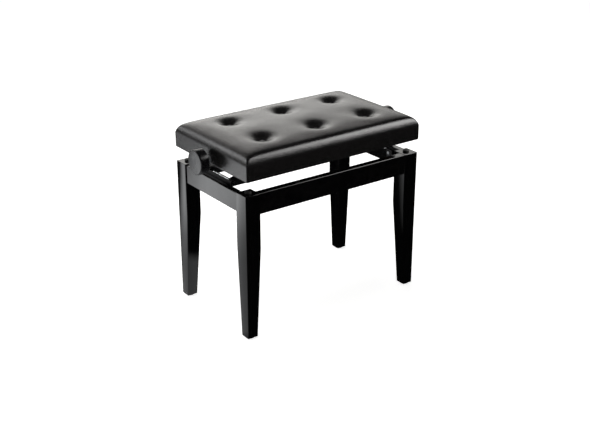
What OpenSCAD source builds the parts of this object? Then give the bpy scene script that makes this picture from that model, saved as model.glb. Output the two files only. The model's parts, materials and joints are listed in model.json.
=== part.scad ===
// Height-adjustable padded bench. A tufted seat box stands on a double scissor lift, which a
// spindle with a left-hand and a right-hand thread opens and closes over a four-legged frame.
// Millimetres, +Z up, origin on the floor under the middle. +X runs along the long side and
// -Y is the front. The seat is shown a third of the way up its travel.

/* [Seat] */
// Length of the seat along X
seat_length = 550; // [440:1:680]
// Width of the seat along Y
seat_width = 335; // [300:1:420]
// Height of the seat's underside above the legs, as shown
seat_raise = 35.6; // [34:0.1:60]
// Rise of the padded top over the edge of the seat
crown_rise = 28.6; // [22:0.1:40]
// Thickness of the leatherette cover
cover_wall = 2; // [1:0.1:3]
// Thickness of the board under the foam
top_board_wall = 15; // [10:1:22]
// Thickness of the four side boards
side_board_wall = 16; // [12:1:20]
// Leg of the triangular blocks in the seat box's corners
corner_block_leg = 35; // [25:1:45]

/* [Tufting] */
// Distance between the columns of buttons
tuft_pitch_x = 165; // [110:1:180]
// Distance between the rows of buttons
tuft_pitch_y = 150; // [110:1:170]
// Radius of a tufted pit at the top
pit_radius = 38; // [30:1:45]
// Radius of a tufted pit's floor
pit_floor_radius = 11; // [10:0.5:16]
// Depth of a tufted pit
pit_depth = 20; // [12:1:24]
// Radius of a covered button
button_radius = 9.5; // [7:0.5:10]
// Thickness of a covered button
button_height = 5; // [3:0.5:8]
// Radius of the cord that pulls a button down
tuft_cord_radius = 1.2; // [0.8:0.1:2]

/* [Frame] */
// Height of the leg tops above the floor
leg_top = 391; // [330:1:470]
// Side of a leg at the top
leg_size = 43; // [38:1:52]
// Side of a leg at the floor
leg_foot = 29.4; // [22:0.1:36]
// Length of the straight part of a leg, down from its top
leg_straight = 146; // [75:1:200]
// How far the legs stand out past the seat's ends
frame_overhang = 1.3; // [0:0.1:4]
// How far the legs stand in from the seat's long sides
frame_inset = 4.3; // [0:0.1:10]
// Height of the glide under each leg
glide_height = 3; // [2:0.5:6]
// Radius of the glide under each leg
glide_radius = 11; // [8:0.5:13]
// Thickness of the front and rear aprons
long_apron_wall = 20; // [16:1:22]
// Height of the front and rear aprons
long_apron_height = 55; // [50:1:70]
// Thickness of the end aprons
end_apron_wall = 18; // [16:1:20]
// Height of the end aprons
end_apron_height = 49; // [46:1:62]
// How far the end aprons' top edges lie below the leg tops
end_apron_drop = 3; // [2:0.5:5]
// How far the front and rear aprons lie behind the legs' faces
long_apron_recess = 2; // [0:0.5:4]
// How far the end aprons lie behind the legs' faces
end_apron_recess = 3; // [0:0.5:4]
// Radius of the rubber bumper on each leg
bumper_radius = 8.5; // [6:0.5:10]
// Height of the rubber bumper on each leg
bumper_height = 5; // [3:0.5:5]

/* [Lift] */
// Height of the spindle's axis above the seat's underside
axis_height = 14.4; // [14:0.1:18]
// Distance from the spindle's axis up to the seat board
axis_to_board = 18; // [16:0.5:22]
// Distance from the lower pivots up to the leg tops
lower_pivot_drop = 2; // [0:0.5:4]
// Distance from the seat's end to the outer pivots
pivot_inset = 35; // [33:1:60]
// Distance from the middle to each nut, as shown
nut_place = 36; // [34:1:60]
// Width of the scissor arms
arm_width = 20; // [18:1:20]
// Thickness of the scissor arms
arm_wall = 4; // [3:0.5:4.5]
// Distance from the middle to the inner face of the cross arms
arms_inner_y = 38; // [32:1:44]
// Thickness of the lift's steel rails and brackets
rail_wall = 3; // [2:0.5:4]
// Width of the rails' flanges
rail_flange = 11; // [9:1:16]
// Radius of the lift's pivot pins
pin_radius = 4; // [3:0.1:4.2]
// Radius of the rollers in the lower rails
roller_radius = 5.2; // [4.8:0.1:5.4]

/* [Spindle] */
// Radius of the spindle
spindle_radius = 6; // [5:0.1:7]
// Pitch of the spindle's thread
thread_pitch = 4; // [3:0.5:5]
// Depth of the spindle's thread
thread_depth = 0.8; // [0.4:0.1:1.2]
// Half the length of a nut along the spindle
nut_half_length = 11; // [8:1:12]
// Radius of a knob
knob_radius = 32.5; // [26:0.5:34]
// Thickness of a knob
knob_height = 24; // [18:1:30]
// Gap between the seat's end and a knob
knob_gap = 19; // [14:1:26]
// Radius of a knob's hub
hub_radius = 13; // [11:0.5:16]

/* [Hidden] */
$fn = 48;
eps = 1;                       // overshoot of cutting tools
fit = 0.05;                    // radial clearance of a running fit
loose = 0.3;                   // clearance between pieces that only pass each other

// Colours of the finishes
lacquer = "#17171a";
leatherette = "#1d1c1d";
dark_steel = "#33343a";
bright_steel = "#9a9ca3";
plywood = "#b08d5f";
rubber_black = "#101012";
nylon_grey = "#55585c";

// The frame's outline and the apron faces
frame_x = seat_length / 2 + frame_overhang;
frame_y = seat_width / 2 - frame_inset;
end_apron_in = frame_x - end_apron_recess - end_apron_wall;
long_apron_in = frame_y - long_apron_recess - long_apron_wall;
long_apron_bottom = leg_top - long_apron_height;
end_apron_top = leg_top - end_apron_drop;

// Heights of the seat's layers
seat_bottom = leg_top + seat_raise;
axis_z = seat_bottom + axis_height;
board_bottom = axis_z + axis_to_board;
board_top = board_bottom + top_board_wall;
seat_top = board_top + crown_rise;
box_bottom = seat_bottom + cover_wall;

// Outline of the seat box inside its cover
box_x = seat_length / 2 - cover_wall;
box_y = seat_width / 2 - cover_wall;
box_in_x = box_x - side_board_wall;
box_in_y = box_y - side_board_wall;

// The scissors: the angle, as shown, follows from where the pivots and nuts are
lower_z = leg_top - lower_pivot_drop;
pivot_x = seat_length / 2 - pivot_inset;
arm_run = pivot_x - nut_place;
arm_rise = axis_z - lower_z;
arm_length = sqrt(arm_run * arm_run + arm_rise * arm_rise);
arm_angle = atan(arm_rise / arm_run);

// Layers of the lift across Y, from the middle outwards
arm_gap = 2;
cross_y = arms_inner_y + arm_wall;
lift_y = cross_y + arm_gap;
lift_out_y = lift_y + arm_wall;
rail_y = lift_out_y + 2 * arm_gap;
rail_out_y = rail_y + rail_wall;

// How far the slots reach for the travel of nuts and rollers, inwards and outwards
nut_in = 10.5;
nut_out = 20.5;
roller_in = 6.2;
roller_out = 25.8;
arm_slip = 6.5;                // slack along the lift arms' slots, for the nuts
arm_slip_back = 1.5;
lift_slack = 1.8;              // slack across the slots, for the arms' own arc

// Rails
upper_rail_margin = 9;         // upper rails' steel under the spindle's axis
lower_rail_over = 10;          // lower rails' steel over and under the lower pivots
lower_rail_under = 11;
upper_rail_bottom = axis_z - upper_rail_margin;
lower_rail_top = lower_z + lower_rail_over;
lower_rail_bottom = lower_z - lower_rail_under;
bracket_reach = rail_out_y + rail_flange + 2;
bracket_in = end_apron_in - rail_wall;
bracket_top = lower_rail_top - 2;    // clears the spindle's bush when the seat is down
bracket_bolt_shares = [0.3, 0.9];    // where along half a bracket its bolts are
bracket_bolt_rise = 5;               // and how far over its lower edge

// Small parts
ring_wall = 1.5;
rod_out_y = rail_out_y + ring_wall + 1;
bush_radius = 10;
bush_flange = bush_radius + 2;
bush_flange_wall = 3;
bush_out = 6;
screw_radius = 2;
bolt_radius = 3;
head_ratio = 1.9;              // a screw's head over its shank
screw_depth_share = 0.7;       // how deep a screw goes into a board, and its hole
hole_depth_share = 0.8;
plate_wall = 2.5;
plate_height = 34;
plate_z = lower_rail_bottom - 1 - plate_height;    // just under the end brackets
plate_flange = 22;
plate_screw_share = 0.65;      // where along a plate's flange its screws are
plate_screw_rows = [0.25, 0.75];
plate_screw_depth = 11;
plate_clear = 10;              // from the leg's inner corner to the plate, along each side
leg_bolt_radius = 4;
leg_bolt_depth = 30;
leg_bolt_tail = 12;            // length of the bolt beyond the plate
leg_chamfer = 8;
rail_screw_xs = [-0.8, -0.3, 0.3, 0.8];
staple_pitch = 50;
bumper_chamfer = 1.5;
nut_cheek = 3;                 // a nut block's extra width along Y
cord_knot = 2;                 // length of a tufting cord below its washer
tuft_washer_ratio = 6;         // a tufting washer's radius over its cord's

knob_back_x = seat_length / 2 + knob_gap;
knob_front_x = knob_back_x + knob_height;
knob_floor = 6;                // solid front of a knob beyond the spindle's end
knob_clear = 2;                // gap between a knob's hub and the spindle's bush

// ---- Helpers --------------------------------------------------------------------------

// A copy on both ends: the right one as drawn, the left one mirrored
module both_ends() {
    children();
    mirror([1, 0, 0]) children();
}

// A copy on both long sides: the rear one as drawn, the front one mirrored
module both_sides() {
    children();
    mirror([0, 1, 0]) children();
}

module four_corners() {
    both_ends() both_sides() children();
}

// Puts a piece drawn for the rear right on the named corner: ends and sides are +1 or -1
module placed(end, side) {
    mirror([end < 0 ? 1 : 0, 0, 0]) mirror([0, side < 0 ? 1 : 0, 0]) children();
}

// A rod along Y between two distances from the middle
module y_rod(radius, from, to) {
    translate([0, from, 0]) rotate([-90, 0, 0]) cylinder(r = radius, h = to - from);
}

// A rod along X between two distances from the middle
module x_rod(radius, from, to) {
    translate([from, 0, 0]) rotate([0, 90, 0]) cylinder(r = radius, h = to - from);
}

// A slot's or an arm's outline, round at both ends, from x = a to x = b
module y_slot(radius, a, b, from, to) {
    translate([a, 0, 0]) y_rod(radius, from, to);
    translate([b, 0, 0]) y_rod(radius, from, to);
    translate([a, from, -radius]) cube([b - a, to - from, 2 * radius]);
}

// A round-headed screw that points up, its head's underside at z = 0
module screw(radius, length) {
    cylinder(r = radius, h = length);
    difference() {
        translate([0, 0, -radius]) cylinder(r = head_ratio * radius, h = radius);
        translate([-radius, -radius / 4, -radius - eps]) cube([2 * radius, radius / 2, eps + radius / 2]);
    }
}

module hex_nut(radius, height, bore) {
    difference() {
        cylinder(r = radius, h = height, $fn = 6);
        translate([0, 0, -eps]) cylinder(r = bore, h = height + 2 * eps);
    }
}

// ---- Frame ----------------------------------------------------------------------------

// A leg's outline in one plane: outer edge upright, inner edge tapering in its lower part
function leg_outline() = [
    [0, glide_height], [leg_foot, glide_height], [leg_size, leg_top - leg_straight],
    [leg_size, leg_top], [0, leg_top]
];

// Turns a piece drawn inwards from the frame's outer corner to face the rear right corner
module from_corner() {
    translate([frame_x, frame_y, 0]) rotate([0, 0, 180]) children();
}

// The leg bolt's line: 45 degrees through the leg's inner corner
module on_leg_bolt() {
    translate([leg_size, leg_size, plate_z + plate_height / 2]) rotate([0, 0, 45]) children();
}

module leg(end, side) {
    color(lacquer) placed(end, side) from_corner() difference() {
        intersection() {
            translate([0, leg_size, 0]) rotate([90, 0, 0]) linear_extrude(leg_size)
                polygon(leg_outline());
            translate([leg_size, 0, 0]) rotate([90, 0, -90]) mirror([1, 0, 0])
                linear_extrude(leg_size) polygon(leg_outline());
        }
        on_leg_bolt() {
            x_rod(leg_bolt_radius, -leg_bolt_depth, eps);
            translate([-leg_chamfer / sqrt(2), -leg_size, -leg_top])
                cube([leg_size, 2 * leg_size, 2 * leg_top]);
        }
    }
}

module glides() {
    color(rubber_black) four_corners() from_corner()
        translate([leg_foot / 2, leg_foot / 2, 0]) cylinder(r = glide_radius, h = glide_height);
}

module long_apron(side) {
    length = 2 * (frame_x - leg_size);
    color(lacquer) placed(1, side) difference() {
        translate([-length / 2, long_apron_in, long_apron_bottom])
            cube([length, long_apron_wall, long_apron_height]);
        plate_screw_holes();
    }
}

module end_apron(end) {
    width = 2 * (frame_y - leg_size);
    color(lacquer) placed(end, 1) difference() {
        translate([end_apron_in, -width / 2, end_apron_top - end_apron_height])
            cube([end_apron_wall, width, end_apron_height]);
        bracket_bolt_places() x_rod(bolt_radius, -end_apron_wall * hole_depth_share, eps);
        plate_screw_holes();
    }
}

module leg_bumpers() {
    color(rubber_black) four_corners() from_corner()
        translate([leg_size / 2, leg_size / 2, leg_top]) rotate_extrude() polygon([
            [0, 0], [bumper_radius, 0], [bumper_radius, bumper_height - bumper_chamfer],
            [bumper_radius - bumper_chamfer, bumper_height], [0, bumper_height]
        ]);
}

// Where a corner plate meets the aprons, inwards from the frame's outer corner
plate_u = 2 * leg_size + plate_clear - long_apron_recess - long_apron_wall;
plate_v = 2 * leg_size + plate_clear - end_apron_recess - end_apron_wall;
apron_u = frame_x - end_apron_in;
apron_v = frame_y - long_apron_in;

module corner_plates() {
    color(dark_steel) four_corners() from_corner() difference() {
        translate([0, 0, plate_z]) linear_extrude(plate_height) union() {
            translate([plate_u, apron_v]) square([plate_flange, plate_wall]);
            translate([apron_u, plate_v]) square([plate_wall, plate_flange]);
            polygon([
                [plate_u, apron_v], [plate_u + plate_wall * sqrt(2), apron_v],
                [apron_u, plate_v + plate_wall * sqrt(2)], [apron_u, plate_v]
            ]);
        }
        on_leg_bolt() x_rod(leg_bolt_radius + fit, 0, leg_size);
        plate_screw_places() cylinder(r = screw_radius + fit, h = 4 * plate_wall, center = true);
    }
}

// The screws of one corner plate, pointing outwards into the two aprons
module plate_screw_places() {
    along = plate_flange * plate_screw_share;
    for (row = plate_screw_rows) {
        translate([plate_u + along, apron_v + plate_wall, plate_z + row * plate_height])
            rotate([90, 0, 0]) children();
        translate([apron_u + plate_wall, plate_v + along, plate_z + row * plate_height])
            rotate([0, -90, 0]) children();
    }
}

module plate_screw_holes() {
    four_corners() from_corner() plate_screw_places()
        cylinder(r = screw_radius, h = plate_wall + plate_screw_depth);
}

module plate_screws() {
    color(bright_steel) four_corners() from_corner() plate_screw_places()
        screw(screw_radius, plate_wall + plate_screw_depth);
}

module leg_bolts() {
    reach = plate_clear / sqrt(2) + plate_wall + leg_bolt_tail;
    color(bright_steel) four_corners() from_corner() on_leg_bolt()
        x_rod(leg_bolt_radius, -leg_bolt_depth, reach);
}

module leg_nuts() {
    nut_height = 6;
    washer_wall = 1.5;
    color(bright_steel) four_corners() from_corner() on_leg_bolt()
        translate([plate_clear / sqrt(2) + plate_wall, 0, 0]) rotate([0, 90, 0]) {
            difference() {
                cylinder(r = 2 * leg_bolt_radius, h = washer_wall);
                translate([0, 0, -eps]) cylinder(r = leg_bolt_radius, h = washer_wall + 2 * eps);
            }
            translate([0, 0, washer_wall])
                hex_nut(1.8 * leg_bolt_radius, nut_height, leg_bolt_radius);
        }
}

// The bolts of one end bracket, on the right end apron's inner face
module bracket_bolt_places() {
    for (share = bracket_bolt_shares)
        both_sides()
            translate([end_apron_in, share * bracket_reach, lower_rail_bottom + bracket_bolt_rise])
                mirror([1, 0, 0]) children();
}

module end_bracket(end) {
    color(dark_steel) placed(end, 1) difference() {
        translate([bracket_in, -bracket_reach, lower_rail_bottom])
            cube([rail_wall, 2 * bracket_reach, bracket_top - lower_rail_bottom]);
        bracket_bolt_places() x_rod(bolt_radius + fit, -eps, rail_wall + eps);
    }
}

module bracket_bolts() {
    color(bright_steel) both_ends() bracket_bolt_places()
        translate([rail_wall, 0, 0]) rotate([0, -90, 0])
            screw(bolt_radius, rail_wall + end_apron_wall * screw_depth_share);
}

// ---- Lower rails ----------------------------------------------------------------------

module lower_rail(side) {
    color(dark_steel) placed(1, side) difference() {
        union() {
            translate([-bracket_in, rail_y, lower_rail_bottom])
                cube([2 * bracket_in, rail_wall, lower_rail_top - lower_rail_bottom]);
            translate([-bracket_in, rail_y, lower_rail_top - rail_wall])
                cube([2 * bracket_in, rail_wall + rail_flange, rail_wall]);
        }
        both_ends() translate([0, 0, lower_z]) {
            translate([pivot_x, 0, 0]) y_rod(pin_radius, rail_y - eps, rail_out_y + eps);
            y_slot(roller_radius + lift_slack + loose, nut_place - roller_in, nut_place + roller_out,
                rail_y - eps, rail_out_y);
        }
    }
}

module lower_pivot_rods() {
    color(bright_steel) both_ends() translate([pivot_x, 0, lower_z])
        y_rod(pin_radius, -rod_out_y, rod_out_y);
}

module rod_rings() {
    color(dark_steel) four_corners() translate([pivot_x, 0, lower_z]) difference() {
        y_rod(pin_radius + ring_wall, rail_out_y, rail_out_y + ring_wall);
        y_rod(pin_radius, rail_out_y - eps, rod_out_y + eps);
    }
}

// ---- Scissor arms ---------------------------------------------------------------------

// The lift arms rise inwards from the lower pivots; their slotted ends carry the nuts
module lift_arm(end, side) {
    color(dark_steel) placed(end, side) translate([pivot_x, 0, lower_z])
        rotate([0, arm_angle, 0]) difference() {
            y_slot(arm_width / 2, -arm_length - arm_slip, 0, lift_y, lift_out_y);
            y_rod(pin_radius + fit, lift_y - eps, lift_out_y + eps);
            translate([-arm_length / 2, 0, 0]) y_rod(pin_radius, lift_y - eps, lift_out_y + eps);
            y_slot(pin_radius + lift_slack, -arm_length - arm_slip, -arm_length + arm_slip_back,
                lift_y - eps, lift_out_y + eps);
        }
}

// Rivets through the crossing of the arms: held in the lift arms, loose in the cross arms
module centre_pins(end) {
    head = pin_radius + lift_slack + 2;
    head_wall = 2;
    color(bright_steel) placed(end, 1) both_sides()
        translate([pivot_x - arm_run / 2, 0, lower_z + arm_rise / 2]) {
            y_rod(pin_radius, arms_inner_y - loose - head_wall, lift_out_y + head_wall);
            y_rod(head, arms_inner_y - loose - head_wall, arms_inner_y - loose);
            y_rod(head, lift_out_y, lift_out_y + head_wall);
        }
}

// The cross arms fall inwards from the seat's pivots; their lower ends carry the rollers
module cross_arm(end, side) {
    color(dark_steel) placed(end, side) translate([pivot_x, 0, axis_z])
        rotate([0, -arm_angle, 0]) difference() {
            y_slot(arm_width / 2, -arm_length, 0, arms_inner_y, cross_y);
            y_rod(pin_radius + fit, arms_inner_y - eps, cross_y + eps);
            translate([-arm_length / 2, 0, 0])
                y_rod(pin_radius + lift_slack, arms_inner_y - eps, cross_y + eps);
            translate([-arm_length, 0, 0]) y_rod(pin_radius, arms_inner_y - eps, cross_y + eps);
        }
}

module slide_rod(end) {
    color(bright_steel) placed(end, 1) translate([nut_place, 0, lower_z])
        y_rod(pin_radius, -rail_out_y, rail_out_y);
}

module rollers(end) {
    color(nylon_grey) placed(end, 1) both_sides() translate([nut_place, 0, lower_z]) difference() {
        y_rod(roller_radius, rail_y - arm_gap / 2, rail_out_y - loose);
        y_rod(pin_radius, rail_y - arm_gap, rail_out_y + eps);
    }
}

// ---- Spindle and nuts -----------------------------------------------------------------

module nut_bar(end) {
    color(bright_steel) placed(end, 1) translate([nut_place, 0, axis_z]) difference() {
        union() {
            translate([-nut_half_length, -nut_half_length - nut_cheek, -nut_half_length])
                cube([2 * nut_half_length, 2 * (nut_half_length + nut_cheek), 2 * nut_half_length]);
            y_rod(pin_radius, -rail_out_y - 1, rail_out_y + 1);
        }
        x_rod(spindle_radius + fit, -nut_half_length - eps, nut_half_length + eps);
    }
}

thread_start = nut_place - nut_half_length - nut_in;
thread_end = nut_place + nut_half_length + nut_out;

module spindle() {
    color(bright_steel) translate([0, 0, axis_z]) difference() {
        x_rod(spindle_radius, -(knob_front_x - knob_floor), knob_front_x - knob_floor);
        both_ends() for (x = [thread_start : thread_pitch : thread_end])
            translate([x, 0, 0]) rotate([0, 90, 0]) rotate_extrude() polygon([
                [spindle_radius + eps, -eps - thread_pitch / 4],
                [spindle_radius - thread_depth, 0],
                [spindle_radius + eps, eps + thread_pitch / 4]
            ]);
    }
}

// Half a knob's outline: hub at the back, dished back, rounded rim, flat front
module knob(end) {
    rim = 3;
    dish = 6;
    wall = 4;
    color(rubber_black) placed(end, 1) translate([knob_back_x, 0, axis_z]) rotate([0, 90, 0])
        difference() {
            rotate_extrude() difference() {
                union() {
                    translate([0, rim]) square([knob_radius, knob_height - 2 * rim]);
                    square([knob_radius - rim, knob_height]);
                    for (y = [rim, knob_height - rim])
                        translate([knob_radius - rim, y]) circle(r = rim);
                    translate([0, -knob_gap + bush_out + knob_clear])
                        square([hub_radius, knob_gap - bush_out - knob_clear + eps]);
                }
                translate([hub_radius, -eps])
                    square([knob_radius - wall - hub_radius, dish + eps]);
            }
            translate([0, 0, -knob_gap])
                cylinder(r = spindle_radius, h = knob_gap + knob_height - knob_floor);
            knob_screw_place() translate([0, 0, -spindle_radius / 2])
                cylinder(r = screw_radius, h = hub_radius);
        }
}

// The set screw's place on a knob's hub, before the knob is turned onto the spindle
module knob_screw_place() {
    translate([0, 0, (bush_out + knob_clear - knob_gap) / 2]) rotate([0, 90, 0])
        translate([0, 0, spindle_radius]) children();
}

module knob_screws() {
    color(bright_steel) both_ends() translate([knob_back_x, 0, axis_z]) rotate([0, 90, 0])
        knob_screw_place() cylinder(r = screw_radius, h = hub_radius - spindle_radius - 1);
}

bush_in_x = box_in_x - bush_flange_wall;

module thrust_collars() {
    collar = 6;
    color(dark_steel) both_ends() translate([0, 0, axis_z]) difference() {
        x_rod(bush_radius, bush_in_x - fit - collar, bush_in_x - fit);
        x_rod(spindle_radius, bush_in_x - 2 * collar, bush_in_x + eps);
    }
}

module spindle_bushes() {
    color(nylon_grey) both_ends() translate([0, 0, axis_z]) difference() {
        union() {
            x_rod(bush_radius, bush_in_x, seat_length / 2 + bush_out);
            x_rod(bush_flange, bush_in_x, box_in_x);
        }
        x_rod(spindle_radius + fit, bush_in_x - eps, seat_length / 2 + bush_out + eps);
    }
}

// ---- Seat box -------------------------------------------------------------------------

module long_side_board(side) {
    color(plywood) placed(1, side) translate([-box_x, box_in_y, box_bottom])
        cube([2 * box_x, side_board_wall, board_bottom - box_bottom]);
}

module end_side_board(end) {
    color(plywood) placed(end, 1) difference() {
        translate([box_in_x, -box_in_y, box_bottom])
            cube([side_board_wall, 2 * box_in_y, board_bottom - box_bottom]);
        translate([0, 0, axis_z]) x_rod(bush_radius, box_in_x - eps, box_x + eps);
    }
}

module corner_blocks() {
    color(plywood) four_corners() translate([box_in_x, box_in_y, box_bottom])
        linear_extrude(board_bottom - box_bottom)
            polygon([[0, 0], [-corner_block_leg, 0], [0, -corner_block_leg]]);
}

// Calls its children at each button, on the spindle's side of the board's top
module tuft_places() {
    for (column = [-1, 0, 1], row = [-1, 1])
        translate([column * tuft_pitch_x, row * tuft_pitch_y / 2, 0]) children();
}

module top_board() {
    color(plywood) difference() {
        translate([-box_x, -box_y, board_bottom]) cube([2 * box_x, 2 * box_y, top_board_wall]);
        tuft_places() translate([0, 0, board_bottom - eps])
            cylinder(r = tuft_cord_radius, h = top_board_wall + 2 * eps);
        rail_screw_places() cylinder(r = screw_radius, h = top_board_wall * hole_depth_share);
    }
}

// Outline of the padded top across one direction: upright sides and a crowned top whose
// curve is |u|^8 + |v|^4 = 1, full at the edge and nearly flat in the middle
function crown_outline(half, bottom, edge, rise) = [
    [-half, bottom],
    for (t = [-90 : 6 : 90])
        [sign(t) * half * pow(abs(sin(t)), 1 / 4), edge + rise * pow(abs(cos(t)), 1 / 2)],
    [half, bottom]
];

// The padded seat's outer form, or its inner form when drawn smaller by the inset
module pad_form(inset, bottom) {
    half_x = seat_length / 2 - inset;
    half_y = seat_width / 2 - inset;
    rise = crown_rise - inset;
    difference() {
        intersection() {
            translate([0, half_y + eps, 0]) rotate([90, 0, 0]) linear_extrude(2 * half_y + 2 * eps)
                polygon(crown_outline(half_x, bottom, board_top, rise));
            translate([-half_x - eps, 0, 0]) rotate([90, 0, 90])
                linear_extrude(2 * half_x + 2 * eps)
                    polygon(crown_outline(half_y, bottom, board_top, rise));
        }
        tuft_places() translate([0, 0, seat_top - inset - pit_depth])
            cylinder(r1 = pit_floor_radius + inset, r2 = pit_radius + inset, h = pit_depth + fit);
    }
}

module foam_pad() {
    color("#d8cfae") difference() {
        pad_form(cover_wall, board_top);
        tuft_places() translate([0, 0, board_top - eps]) cylinder(r = tuft_cord_radius, h = 2 * crown_rise);
    }
}

module cover() {
    hem = side_board_wall;
    color(leatherette) difference() {
        pad_form(0, seat_bottom);
        pad_form(cover_wall, box_bottom);
        translate([-box_x + hem, -box_y + hem, seat_bottom - eps])
            cube([2 * (box_x - hem), 2 * (box_y - hem), 2 * cover_wall + eps]);
        both_ends() translate([0, 0, axis_z]) x_rod(bush_radius + loose, box_x - eps, box_x + 2 * cover_wall);
        tuft_places() translate([0, 0, board_top]) cylinder(r = tuft_cord_radius, h = 2 * crown_rise);
    }
}

pit_floor_z = seat_top - pit_depth;

module buttons() {
    color(leatherette) tuft_places() translate([0, 0, pit_floor_z]) difference() {
        rotate_extrude() intersection() {
            square([button_radius, button_height]);
            translate([0, button_height - 2 * button_radius]) circle(r = 2 * button_radius);
        }
        translate([0, 0, -eps]) cylinder(r = tuft_cord_radius, h = eps + button_height / 2);
    }
}

washer_wall = 1.5;

module tuft_cords() {
    cord_bottom = board_bottom - washer_wall - cord_knot;
    color("#c9c2b0") tuft_places() translate([0, 0, cord_bottom])
        cylinder(r = tuft_cord_radius, h = pit_floor_z + button_height / 2 - cord_bottom);
}

module tuft_washers() {
    color(bright_steel) tuft_places() translate([0, 0, board_bottom - washer_wall]) difference() {
        cylinder(r = tuft_washer_ratio * tuft_cord_radius, h = washer_wall);
        translate([0, 0, -eps]) cylinder(r = tuft_cord_radius, h = washer_wall + 2 * eps);
    }
}

// ---- Upper rails ----------------------------------------------------------------------

upper_rail_half = box_in_x - 2;

module rail_screw_places() {
    both_sides() for (share = rail_screw_xs)
        translate([share * upper_rail_half, rail_out_y + rail_flange / 2, board_bottom]) children();
}

module upper_rail(side) {
    color(dark_steel) placed(1, side) difference() {
        union() {
            translate([-upper_rail_half, rail_y, upper_rail_bottom])
                cube([2 * upper_rail_half, rail_wall, board_bottom - upper_rail_bottom]);
            translate([-upper_rail_half, rail_y, board_bottom - rail_wall])
                cube([2 * upper_rail_half, rail_wall + rail_flange, rail_wall]);
        }
        both_ends() translate([0, 0, axis_z]) {
            translate([pivot_x, 0, 0]) y_rod(pin_radius, rail_y - eps, rail_out_y + eps);
            y_slot(pin_radius + fit, nut_place - nut_in, nut_place + nut_out,
                rail_y - eps, rail_out_y + eps);
        }
        rail_screw_places() cylinder(r = screw_radius + fit, h = 3 * rail_wall, center = true);
    }
}

module rail_screws() {
    color(bright_steel) rail_screw_places() translate([0, 0, -rail_wall])
        screw(screw_radius, rail_wall + top_board_wall * screw_depth_share);
}

// Stepped pins on which the cross arms hang inside the upper rails
module upper_pivot_pins() {
    head = pin_radius + 2.5;
    head_wall = 2;
    color(bright_steel) four_corners() translate([pivot_x, 0, axis_z]) {
        y_rod(pin_radius, arms_inner_y - loose - head_wall, rail_out_y + head_wall);
        y_rod(head, arms_inner_y - loose - head_wall, arms_inner_y - loose);
        y_rod(head, cross_y + loose, rail_y);
        y_rod(head, rail_out_y, rail_out_y + head_wall);
    }
}

// Staples that hold the cover's hem under the side boards
module staples() {
    crown_length = 10;
    wire = 0.8;
    color(bright_steel) translate([0, 0, seat_bottom - wire]) {
        for (x = [-box_in_x + staple_pitch / 2 : staple_pitch : box_in_x - crown_length])
            both_sides() translate([x, box_in_y + side_board_wall / 2, 0])
                cube([crown_length, wire, wire]);
        for (y = [-box_in_y + staple_pitch / 2 : staple_pitch : box_in_y - crown_length])
            both_ends() translate([box_in_x + side_board_wall / 2, y, 0])
                cube([wire, crown_length, wire]);
    }
}

// ---- Assembly -------------------------------------------------------------------------

leg(-1, -1);  // leg_front_left
leg(1, -1);  // leg_front_right
leg(-1, 1);  // leg_rear_left
leg(1, 1);  // leg_rear_right
glides();
long_apron(-1);  // apron_front
long_apron(1);  // apron_rear
end_apron(-1);  // apron_left
end_apron(1);  // apron_right
leg_bumpers();
corner_plates();
leg_bolts();
leg_nuts();
plate_screws();
end_bracket(-1);  // end_bracket_left
end_bracket(1);  // end_bracket_right
bracket_bolts();
lower_rail(-1);  // lower_rail_front
lower_rail(1);  // lower_rail_rear
lower_pivot_rods();
rod_rings();
lift_arm(-1, -1);  // lift_arm_left_front
lift_arm(-1, 1);  // lift_arm_left_rear
centre_pins(-1);  // centre_pins_left
lift_arm(1, -1);  // lift_arm_right_front
lift_arm(1, 1);  // lift_arm_right_rear
centre_pins(1);  // centre_pins_right
cross_arm(-1, -1);  // cross_arm_left_front
cross_arm(-1, 1);  // cross_arm_left_rear
slide_rod(-1);  // slide_rod_left
rollers(-1);  // rollers_left
cross_arm(1, -1);  // cross_arm_right_front
cross_arm(1, 1);  // cross_arm_right_rear
slide_rod(1);  // slide_rod_right
rollers(1);  // rollers_right
nut_bar(-1);  // nut_left
nut_bar(1);  // nut_right
spindle();
thrust_collars();
knob(-1);  // knob_left
knob(1);  // knob_right
knob_screws();
long_side_board(-1);  // side_board_front
long_side_board(1);  // side_board_rear
end_side_board(-1);  // side_board_left
end_side_board(1);  // side_board_right
corner_blocks();
top_board();
foam_pad();
cover();
buttons();
tuft_cords();
tuft_washers();
upper_rail(-1);  // upper_rail_front
upper_rail(1);  // upper_rail_rear
rail_screws();
upper_pivot_pins();
spindle_bushes();
staples();
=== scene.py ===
# %% [markdown]
# # A height-adjustable piano bench
# The bench is a tufted leatherette seat box on a black lacquered frame. Between them a
# double scissor lift, driven by a spindle with a knob at each end, raises the seat.
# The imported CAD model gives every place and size. Here we only make what the eye sees:
# the lacquered wood, the stuffed and buttoned cover, the knobs and the finishes.

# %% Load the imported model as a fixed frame
import json
import math

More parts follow.
